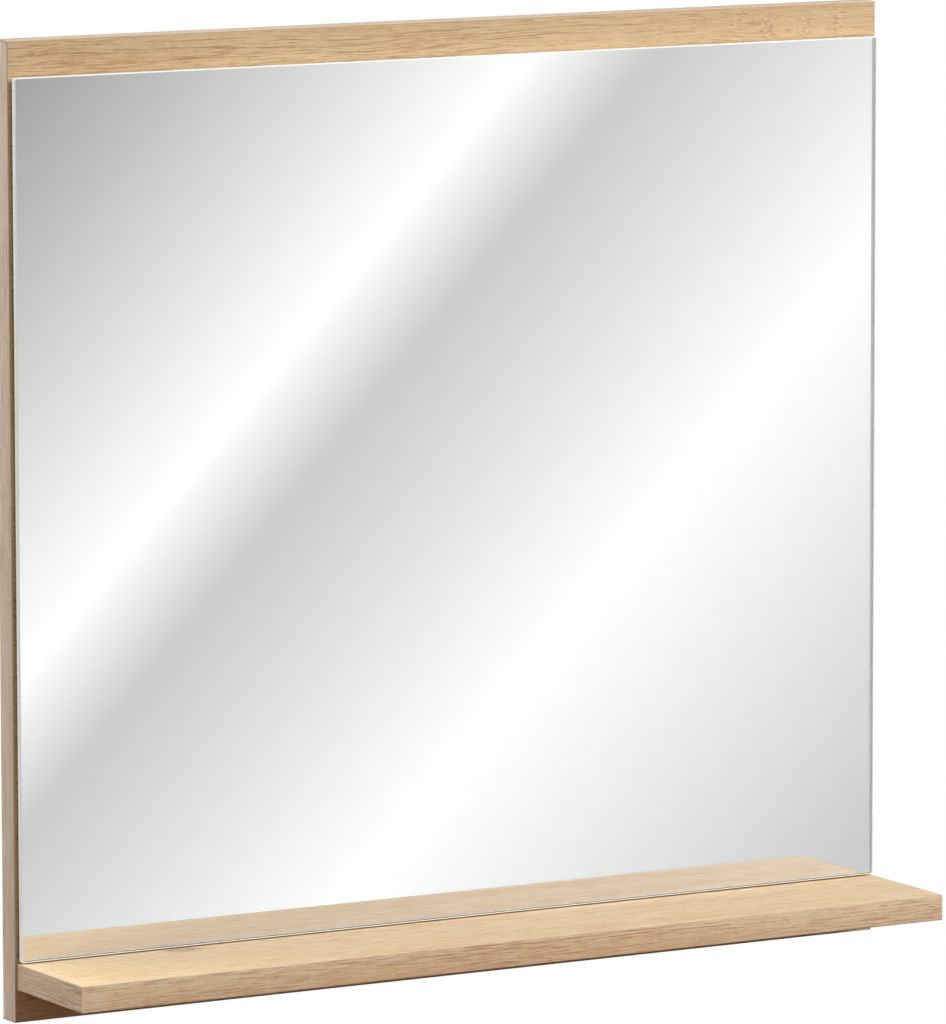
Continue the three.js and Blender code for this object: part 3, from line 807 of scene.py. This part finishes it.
def run_tree(piece, tree, values):
    """Lets a Geometry Nodes tree make the piece's mesh, then drops the modifier."""
    modifier = piece.modifiers.new("made by nodes", "NODES")
    modifier.node_group = tree
    sockets = {item.name: item.identifier for item in tree.interface.items_tree
               if item.item_type == "SOCKET" and item.in_out == "INPUT"}
    for name, value in values.items():
        modifier[sockets[name]] = value
    keep_finished(piece)


# -------------------------------- edge bands

def edge_band_tree():
    """A strip along local Z whose outer face looks to +X, with its outer long edges rounded.

    It stores band_place (along, across, through) and band_arris for the band's finish.
    """
    inputs = {
        "Length": (FLOAT, 0.6),
        "Board": (FLOAT, 0.016),
        "Thickness": (FLOAT, 0.001),
        "Arris": (FLOAT, 0.0006),
        "Arris Steps": (COUNT, 5),
        "Grain Start": (FLOAT, 0.0),
        "Material": (FINISH, None),
    }
    tree, given, result = new_group("edge band", "GeometryNodeTree", inputs, {"Geometry": GEOMETRY})
    value = given.outputs

    section = add(tree, "GeometryNodeCurvePrimitiveQuadrilateral",
                  {"Width": value["Thickness"], "Height": value["Board"]})
    half_thickness = times(tree, value["Thickness"], 0.5)
    outwards = join_axes(tree, X=half_thickness)
    seated = add(tree, "GeometryNodeTransform",
                 {"Geometry": section.outputs["Curve"], "Translation": outwards})
    at = split_axes(tree, add(tree, "GeometryNodeInputPosition").outputs[0])
    is_outer = sum_up(tree, "GREATER_THAN", at["X"], half_thickness)
    radius = times(tree, is_outer, value["Arris"])
    rounded = add(tree, "GeometryNodeFilletCurve", {
        "Curve": seated.outputs["Geometry"],
        "Count": value["Arris Steps"],
        "Radius": radius,
    }, mode="POLY")

    half_length = times(tree, value["Length"], 0.5)
    run = add(tree, "GeometryNodeCurvePrimitiveLine", {
        "Start": join_axes(tree, Z=times(tree, half_length, -1.0)),
        "End": join_axes(tree, Z=half_length),
    })
    strip = add(tree, "GeometryNodeCurveToMesh", {
        "Curve": run.outputs["Curve"],
        "Profile Curve": rounded.outputs["Curve"],
        "Fill Caps": True,
    })

    along = sum_up(tree, "ADD", at["Z"], value["Grain Start"])
    placed = add(tree, "GeometryNodeStoreNamedAttribute", {
        "Geometry": strip.outputs["Mesh"],
        "Name": "band_place",
        "Value": join_axes(tree, X=along, Y=at["Y"], Z=at["X"]),
    }, data_type="FLOAT_VECTOR", domain="POINT")
    turned = split_axes(tree, add(tree, "GeometryNodeInputNormal").outputs[0])
    sideward = sum_up(tree, "ABSOLUTE", turned["Y"])
    marked = add(tree, "GeometryNodeStoreNamedAttribute", {
        "Geometry": placed.outputs["Geometry"],
        "Name": "band_arris",
        "Value": sum_up(tree, "GREATER_THAN", sideward, ARRIS_SLANT),
    }, data_type="FLOAT", domain="FACE")
    end_tree(tree, result, marked.outputs["Geometry"], value["Material"])
    return tree


# Each band: the way its outer face looks, the way it runs, its finish and where its grain starts.
BANDS = {
    "panel_band_top": ((0, 0, 1), (1, 0, 0), "top band, painted shade", 0.3),
    "panel_band_bottom": ((0, 0, -1), (1, 0, 0), "top band, painted shade", 1.7),
    "panel_band_left": ((-1, 0, 0), (0, 0, 1), "side band, painted shade", 3.1),
    "panel_band_right": ((1, 0, 0), (0, 0, 1), "side band, painted shade", 4.6),
    "shelf_band_front": ((0, -1, 0), (1, 0, 0), "front band", 6.2),
    "shelf_band_left": ((-1, 0, 0), (0, 1, 0), "end band", 7.7),
    "shelf_band_right": ((1, 0, 0), (0, 1, 0), "end band", 9.4),
}


def make_bands(finishes):
    tree = edge_band_tree()
    for node, (out, run, finish, grain_start) in BANDS.items():
        out, run = Vector(out), Vector(run)
        across = run.cross(out)
        low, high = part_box(node)
        size = high - low
        length, thickness = abs(size.dot(run)), abs(size.dot(out)) + GLUE_FILL
        piece = new_object(f"{node}_strip", bpy.data.meshes.new(node))
        run_tree(piece, tree, {
            "Length": length,
            "Board": abs(size.dot(across)),
            "Thickness": thickness,
            "Arris": BAND_ARRIS,
            "Arris Steps": ARRIS_STEPS,
            "Grain Start": grain_start,
            "Material": finishes[finish],
        })
        glue_face = (low + high) / 2 - out * (thickness + GLUE_FILL) / 2
        turn = Matrix((out, across, run)).transposed().to_4x4()
        piece.data.transform(Matrix.Translation(glue_face) @ turn)
        point_out(piece.data)
        soften(piece.data, 30)
        give(piece, "oak_edge_band", node)


# -------------------------------- mirror glass

def make_glass(finishes):
    """The glass sheet: seamed edges, slightly dubbed corners, ground all round, sealed behind."""
    low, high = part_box("mirror_glass")
    middle = (low + high) / 2
    half_width, half_height = (high.x - low.x) / 2, (high.z - low.z) / 2
    rings = [
        (high.y, SEALED_MARGIN),
        (high.y, GLASS_SEAM),
        (high.y - GLASS_SEAM, 0.0),
        (low.y + GLASS_ARRIS, 0.0),
        (low.y, GLASS_ARRIS),
    ]
    vertices = []
    for y, inset in rings:
        corner = max(GLASS_CORNER - inset, SMALLEST_CORNER)
        outline = rounded_rectangle(half_width - inset, half_height - inset, corner,
                                    GLASS_CORNER_STEPS)
        vertices += [(middle.x + x, y, middle.z + z) for x, z in outline]
    mesh = stacked_solid("mirror glass", vertices, len(vertices) // len(rings))
    slots = ("glass", "glass edge", "glass foot", "end sealing, painted shade", "side sealing, painted light")
    for finish in slots:
        mesh.materials.append(finishes[finish])

    # The back's rim is sealed, grey at the top and the foot as painted shade and pale at the sides as
    # painted light. The lower edge is sealed pale as well, as painted light, and the front arris
    # along it has the strongest painted glow.
    for face in mesh.polygons:
        finish = "glass edge"
        if abs(face.normal.y) > 0.99 and face.area > half_width * half_height:
            finish = "glass"
        elif face.normal.y > 0.01:
            at_side = abs(face.center.x - middle.x) > half_width - GLASS_CORNER
            finish = "side sealing, painted light" if at_side else "end sealing, painted shade"
        elif face.normal.z < -0.9:
            finish = "side sealing, painted light"
        elif -0.99 < face.normal.y < -0.01 and face.normal.z < -0.5:
            finish = "glass foot"
        face.material_index = slots.index(finish)
    soften(mesh, 20)
    give(new_object("mirror_glass_sheet", mesh), "mirror_glass", "mirror_glass")


# -------------------------------- hangers, screws and bumpers

def arc(radius, first, last, steps, level):
    """Points round a centre that lies at the given level, from one angle to the other."""
    angles = [first + (last - first) * step / steps for step in range(steps + 1)]
    return [(radius * math.cos(angle), level + radius * math.sin(angle)) for angle in angles]


def keyhole_points():
    """The keyhole's outline round the slot's end at the origin, in x and z."""
    meet = math.acos(KEYHOLE_SLOT_RADIUS / KEYHOLE_ENTRY_RADIUS)
    slot_end = arc(KEYHOLE_SLOT_RADIUS, 0, math.pi, KEYHOLE_STEPS, 0)
    return slot_end + arc(KEYHOLE_ENTRY_RADIUS, math.pi - meet, 2 * math.pi + meet,
                          2 * KEYHOLE_STEPS, -KEYHOLE_RISE)


def flat_outline(curve, points):
    spline = curve.splines.new("POLY")
    spline.points.add(len(points) - 1)
    for point, (x, z) in zip(spline.points, points):
        point.co = (x, z, 0, 1)
    spline.use_cyclic_u = True


def cut_away(piece, cutter):
    """Takes the cutter's shape out of the piece."""
    modifier = piece.modifiers.new("cut", "BOOLEAN")
    modifier.operation = "DIFFERENCE"
    modifier.solver = "EXACT"
    modifier.object = cutter
    keep_finished(piece)
    bpy.data.objects.remove(cutter)


def sink_cutter(x, z):
    """The countersunk hole's shape, from outside the plate's back through to its front."""
    bottom = -SINK_DEPTH - SINK_REACH
    profile = [
        (0, SINK_REACH),
        (SINK_RADIUS, SINK_REACH),
        (SINK_RADIUS, 0),
        (SINK_THROAT, -SINK_DEPTH),
        (SINK_THROAT, bottom),
        (0, bottom),
    ]
    mesh = lathe("sink", profile)
    mesh.transform(Matrix.Translation((x, 0, z)))
    return new_object("sink", mesh)


def make_hanger_plate(side, finishes):
    node = f"hanger_plate_{side}"
    low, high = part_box(node)
    middle = (low + high) / 2
    curve = bpy.data.curves.new(node, "CURVE")
    curve.dimensions = "2D"
    curve.fill_mode = "BOTH"
    outline = rounded_rectangle((high.x - low.x) / 2 - PLATE_EDGE, (high.z - low.z) / 2 - PLATE_EDGE,
                                PLATE_CORNER - PLATE_EDGE, PLATE_CORNER_STEPS)
    flat_outline(curve, [(x, z + middle.z - HANG_LEVEL) for x, z in outline])
    flat_outline(curve, keyhole_points())
    curve.extrude = (high.y - low.y) / 2 - PLATE_EDGE
    curve.bevel_depth = PLATE_EDGE
    curve.bevel_resolution = PLATE_EDGE_STEPS
    drawn = new_object(f"{node}_drawn", curve)
    mesh = finished_mesh(drawn)
    bpy.data.objects.remove(drawn)
    mesh.transform(Matrix.Rotation(math.pi / 2, 4, "X"))
    mesh.transform(Matrix.Translation((middle.x, middle.y, HANG_LEVEL)))
    point_out(mesh)
    mesh.materials.clear()
    mesh.materials.append(finishes["bright zinc"])
    piece = new_object(f"{node}_stamped", mesh)
    for number in (1, 2):
        screw_low, screw_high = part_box(f"hanger_screw_{side}_{number}")
        centre = (screw_low + screw_high) / 2
        cut_away(piece, sink_cutter(centre.x, centre.z))
    point_out(piece.data)
    soften(piece.data, 40)
    weigh_normals(piece)
    give(piece, "hanger_steel", node)


def screw_mesh(name, screw):
    """A screw along Y, its head's top at y = 0 and its tip towards -Y."""
    rings = [(radius, depth, 0.0) for radius, depth in screw["head"]]
    start = rings[-1][1]
    end = screw["length"] - screw["tip"]
    steps = math.ceil((end - start) / screw["pitch"] * THREAD_RINGS)
    for step in range(1, steps + 1):
        depth = start + (end - start) * step / steps
        fade = min(1.0, step / THREAD_RINGS, (steps - step + 1) / THREAD_RINGS)
        rings.append((screw["core"], depth, (screw["radius"] - screw["core"]) * fade))
    vertices = [(0.0, 0.0, 0.0)]
    for radius, depth, ridge in rings:
        for side in range(THREAD_STEPS):
            turn = side / THREAD_STEPS
            phase = (depth / screw["pitch"] + turn) % 1
            crest = max(0.0, 1 - THREAD_SLOPE * abs(phase - 0.5))
            reach = radius + ridge * crest
            angle = 2 * math.pi * turn
            vertices.append((reach * math.cos(angle), -depth, reach * math.sin(angle)))
    vertices.append((0.0, -screw["length"], 0.0))
    return pointed_solid(name, vertices, THREAD_STEPS)


def recess_cutter(outline, depth, taper):
    """A prism along Y over an outline, as far above y = 0 as below, narrower at its bottom."""
    vertices = [(x, depth, z) for x, z in outline]
    vertices += [(x * taper, -depth, z * taper) for x, z in outline]
    return new_object("recess", stacked_solid("recess", vertices, len(outline)))


def cross_outline(reach, half_width, turn):
    """A plus sign whose arms reach out from the origin."""
    arm = [(reach, -half_width), (reach, half_width), (half_width, half_width)]
    points = []
    for quarter in range(4):
        angle = quarter * math.pi / 2 + turn
        for x, z in arm:
            points.append((x * math.cos(angle) - z * math.sin(angle),
                           x * math.sin(angle) + z * math.cos(angle)))
    return points


def make_screw(name, screw, recess):
    """One screw with the recess cut into its head."""
    piece = new_object(name, screw_mesh(name, screw))
    cut_away(piece, recess)
    soften(piece.data, 30)
    return piece


def cross_screw():
    """A countersunk wood screw of the hanger plates, with a cross recess."""
    outline = cross_outline(CROSS_REACH, CROSS_HALF_WIDTH, CROSS_TURN)
    return make_screw("cross screw", HANGER_SCREW, recess_cutter(outline, CROSS_DEPTH, CROSS_TAPER))


def hex_screw():
    """A one-piece connector screw with a straight hexagon socket."""
    outline = polygon(6, HEX_FLATS / math.sqrt(3), HEX_TURN)
    return make_screw("hex screw", CONNECTOR_SCREW, recess_cutter(outline, HEX_DEPTH, 1.0))


def bumper_pad():
    """A soft round bumper with a well rounded edge, its face at y = 0."""
    foot = -BUMPER_HEIGHT
    profile = [(0, foot), (BUMPER_RADIUS - BUMPER_FOOT, foot), (BUMPER_RADIUS, foot + BUMPER_FOOT)]
    flat_radius = BUMPER_RADIUS - BUMPER_EDGE
    rounding = arc(BUMPER_EDGE, 0, math.pi / 2, BUMPER_EDGE_STEPS, -BUMPER_EDGE)
    profile += [(flat_radius + out, y) for out, y in rounding[:-1]]
    profile += [(flat_radius, 0.0), (BUMPER_RADIUS / 2, 0.0), (0, 0.0)]
    piece = new_object("bumper pad", lathe("bumper pad", profile))
    soften(piece.data, 50)
    return piece


def copies_tree():
    """One copy of a piece on each given point, turned about its axis by a seeded amount."""
    inputs = {
        "Places": (GEOMETRY, None),
        "Piece": (PIECE, None),
        "Turn": (FLOAT, 0.0),
        "Seed": (COUNT, 0),
        "Material": (FINISH, None),
    }
    tree, given, result = new_group("copies on places", "GeometryNodeTree", inputs,
                                    {"Geometry": GEOMETRY})
    value = given.outputs
    source = add(tree, "GeometryNodeObjectInfo", {"Object": value["Piece"]})
    inputs = {0: (0, 0, 0), 1: join_axes(tree, Y=value["Turn"]), "Seed": value["Seed"]}
    turn = add(tree, "FunctionNodeRandomValue", inputs, data_type="FLOAT_VECTOR")
    copies = add(tree, "GeometryNodeInstanceOnPoints", {
        "Points": value["Places"],
        "Instance": source.outputs["Geometry"],
        "Rotation": turn.outputs[0],
    })
    end_tree(tree, result, copies.outputs["Instances"], value["Material"])
    return tree


def make_copies(name, tree, sample, nodes, finish, slot_name, turn, seed):
    """The sample piece on the back end of each named node, as one mesh."""
    places = []
    for node in nodes:
        low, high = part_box(node)
        centre = (low + high) / 2
        places.append((centre.x, high.y, centre.z))
    piece = new_object(name, mesh_from(name, places, []))
    run_tree(piece, tree, {"Piece": sample, "Turn": turn, "Seed": seed, "Material": finish})
    bpy.data.objects.remove(sample)
    give(piece, slot_name, *nodes)


def make_hardware(finishes):
    for side in ("left", "right"):
        make_hanger_plate(side, finishes)
    tree = copies_tree()
    hanger_screws = [f"hanger_screw_{side}_{n}" for side in ("left", "right") for n in (1, 2)]
    make_copies("hanger_screws", tree, cross_screw(), hanger_screws, finishes["bright zinc"],
                "hanger_steel", turn=math.pi / 2, seed=7)
    connector_screws = [f"confirmat_screw_{n}" for n in (1, 2, 3)]
    make_copies("connector_screws", tree, hex_screw(), connector_screws, finishes["yellow zinc"],
                "connector_steel", turn=math.pi / 3, seed=3)
    bumpers = [f"wall_bumper_{side}" for side in ("left", "right")]
    make_copies("wall_bumpers", tree, bumper_pad(), bumpers, finishes["rubber"],
                "bumper_rubber", turn=0.0, seed=0)


# -------------------------------- carried-over solids

def dress_solids(finishes):
    """New finishes on the CAD solids that stay."""
    dressing = {
        "panel_core": "panel",
        "shelf_core": "shelf",
        "mirror_silvering": "silver",
        **{f"mirror_tape_{n}": "foam" for n in range(1, 5)},
        **{f"mirror_adhesive_{n}": "adhesive" for n in range(1, 4)},
        **{f"shelf_dowel_{n}": "beech" for n in (1, 2)},
    }
    for node, finish in dressing.items():
        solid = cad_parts[node]
        solid.data.materials.clear()
        solid.data.materials.append(finishes[finish])


# -------------------------------- studio

def photograph_camera():
    data = bpy.data.cameras.new("photograph camera")
    data.lens = CAMERA_LENS
    data.sensor_width = CAMERA_SENSOR
    data.clip_end = CAMERA_REACH
    camera = new_object("photograph camera", data)
    aim = Euler((math.pi / 2 - CAMERA_DIP, 0, -CAMERA_TURN)).to_matrix().to_4x4()
    roll = Matrix.Rotation(CAMERA_ROLL, 4, "Z")
    camera.matrix_world = Matrix.Translation(CAMERA_PLACE) @ aim @ roll
    bpy.context.scene.camera = camera


FLOOR_LEVEL = -1.30
FLOOR_REACH = 90.0


def make_sheet(name, corners, material, seen):
    """A flat sheet of the studio that gives the part no shadow and no matt light."""
    mesh = mesh_from(name, corners, [(0, 1, 2, 3)])
    mesh.materials.append(material)
    sheet = new_object(name, mesh)
    sheet.visible_camera = seen
    sheet.visible_diffuse = False
    sheet.visible_shadow = False


def make_floor():
    """A plain pale floor that looks evenly white to the camera."""
    material, tree = empty_material("pale floor")
    diffuse = add(tree, "ShaderNodeBsdfDiffuse", {"Color": (0.8, 0.8, 0.8, 1)})
    glow = add(tree, "ShaderNodeEmission", {"Color": (1, 1, 1, 1), "Strength": 1.0})
    seen = add(tree, "ShaderNodeLightPath").outputs["Is Camera Ray"]
    mixed = add(tree, "ShaderNodeMixShader",
                {0: seen, 1: diffuse.outputs[0], 2: glow.outputs[0]})
    add(tree, "ShaderNodeOutputMaterial", {"Surface": mixed.outputs[0]})
    sides = [(-1, -1), (1, -1), (1, 1), (-1, 1)]
    corners = [(x * FLOOR_REACH, y * FLOOR_REACH, FLOOR_LEVEL) for x, y in sides]
    make_sheet("floor", corners, material, seen=True)


# The card's tones as they look on screen, by their place along the mirror's falling diagonal:
# x - CARD_SLOPE * z, in metres on the glass.
CARD_SLOPE = 0.985
CARD_TONES = [
    (-1.25, 0.86),
    (-0.95, 0.98),
    (-0.80, 0.70),
    (-0.36, 0.60),
    (0.014, 1.0),
    (0.105, 0.785),
    (0.385, 1.0),
    (0.75, 0.79),
]
CARD_STRENGTH = 1.30
CARD_DISTANCE = 2.0  # in front of the wall plane
CARD_LEFT, CARD_RIGHT = -0.80, 1.75
CARD_LOW, CARD_HIGH = -1.25, 0.10


def make_card():
    """A shaded studio card, set where the photograph's camera sees it in the mirror."""
    silver_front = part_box("mirror_silvering")[0].y
    behind = Vector((CAMERA_PLACE.x, 2 * silver_front - CAMERA_PLACE.y, CAMERA_PLACE.z))
    spread = (behind.y + CARD_DISTANCE) / (behind.y - silver_front)
    material, tree = empty_material("shaded card")
    axes = split_axes(tree, add(tree, "ShaderNodeTexCoord").outputs["Object"])

    def on_glass(axis, centre):
        away = sum_up(tree, "SUBTRACT", axes[axis], centre)
        return sum_up(tree, "ADD", sum_up(tree, "DIVIDE", away, spread), centre)

    fallen = times(tree, on_glass("Z", behind.z), -CARD_SLOPE)
    diagonal = sum_up(tree, "ADD", on_glass("X", behind.x), fallen)
    first, last = CARD_TONES[0][0], CARD_TONES[-1][0]
    share = remap(tree, diagonal, first, last, interpolation="LINEAR")
    ramp = add(tree, "ShaderNodeValToRGB", {"Fac": share})
    while len(ramp.color_ramp.elements) < len(CARD_TONES):
        ramp.color_ramp.elements.new(0.5)
    for element, (stop, tone) in zip(ramp.color_ramp.elements, CARD_TONES):
        element.position = (stop - first) / (last - first)
        element.color = (tone, tone, tone, 1)
    linear = add(tree, "ShaderNodeGamma", {"Color": ramp.outputs["Color"], "Gamma": 2.2})
    glow = add(tree, "ShaderNodeEmission",
               {"Color": linear.outputs["Color"], "Strength": CARD_STRENGTH})
    add(tree, "ShaderNodeOutputMaterial", {"Surface": glow.outputs[0]})
    corners = [(CARD_LEFT, CARD_LOW), (CARD_RIGHT, CARD_LOW),
               (CARD_RIGHT, CARD_HIGH), (CARD_LEFT, CARD_HIGH)]
    corners = [(x, -CARD_DISTANCE, z) for x, z in corners]
    make_sheet("shaded_card", corners, material, seen=False)


# Each softbox: where it stands, where it looks, its width, its height and its watts
PART_MIDDLE = (0, -0.05, -0.25)
SOFTBOXES = {
    "key softbox": ((2.45, -2.35, 2.35), PART_MIDDLE, 1.6, 1.6, 156),
    "left softbox": ((-1.9, 0.7, 0.8), (-0.3, 0, 0), 1.2, 1.2, 23),
    "back softbox": ((-1.5, 4.5, 2.2), PART_MIDDLE, 2.5, 2.0, 110),
}


def make_lights():
    for name, (place, target, width, height, watts) in SOFTBOXES.items():
        data = bpy.data.lights.new(name, "AREA")
        data.shape = "RECTANGLE"
        data.size = width
        data.size_y = height
        data.energy = watts
        light = new_object(name, data)
        light.location = place
        light.rotation_euler = (Vector(target) - light.location).to_track_quat("-Z", "Y").to_euler()


# What matt and glossy surfaces get from below, and what matt ones get from above
GROUND_LIGHT = (0.075, 0.030, 0.002, 1.0)
GROUND_GLOSS = (0.20, 0.12, 0.05, 1.0)
SKY_LIGHT = (0.33, 0.33, 0.33, 1.0)


def make_world():
    """White to the camera. To the rest a soft grey sky over a dim, wood-warm ground."""
    world = bpy.data.worlds.new("studio")
    bpy.context.scene.world = world
    world.use_nodes = True
    tree = world.node_tree
    tree.nodes.clear()
    path = add(tree, "ShaderNodeLightPath")
    ray = add(tree, "ShaderNodeTexCoord").outputs["Generated"]
    height = split_axes(tree, ray)["Z"]
    sky = blend_colors(tree, remap(tree, height, 0.02, 0.5), GROUND_LIGHT, SKY_LIGHT)
    gloss = remap(tree, height, -0.1, 0.6, 0.95, 0.55)
    high_gloss = add(tree, "ShaderNodeCombineColor", {0: gloss, 1: gloss, 2: gloss}).outputs[0]
    gloss_color = blend_colors(tree, remap(tree, height, -0.2, -0.02), GROUND_GLOSS, high_gloss)
    seen = blend_colors(tree, path.outputs["Is Diffuse Ray"], gloss_color, sky)
    light = blend_colors(tree, path.outputs["Is Camera Ray"], seen, (1, 1, 1, 1))
    back = add(tree, "ShaderNodeBackground", {"Color": light, "Strength": 1.0})
    add(tree, "ShaderNodeOutputWorld", {"Surface": back.outputs[0]})


# -------------------------------- the scene

bpy.context.scene.view_settings.view_transform = "Standard"
photograph_camera()
make_world()
make_lights()
make_floor()
make_card()

finishes = all_finishes()
dress_solids(finishes)
make_bands(finishes)
make_glass(finishes)
make_hardware(finishes)
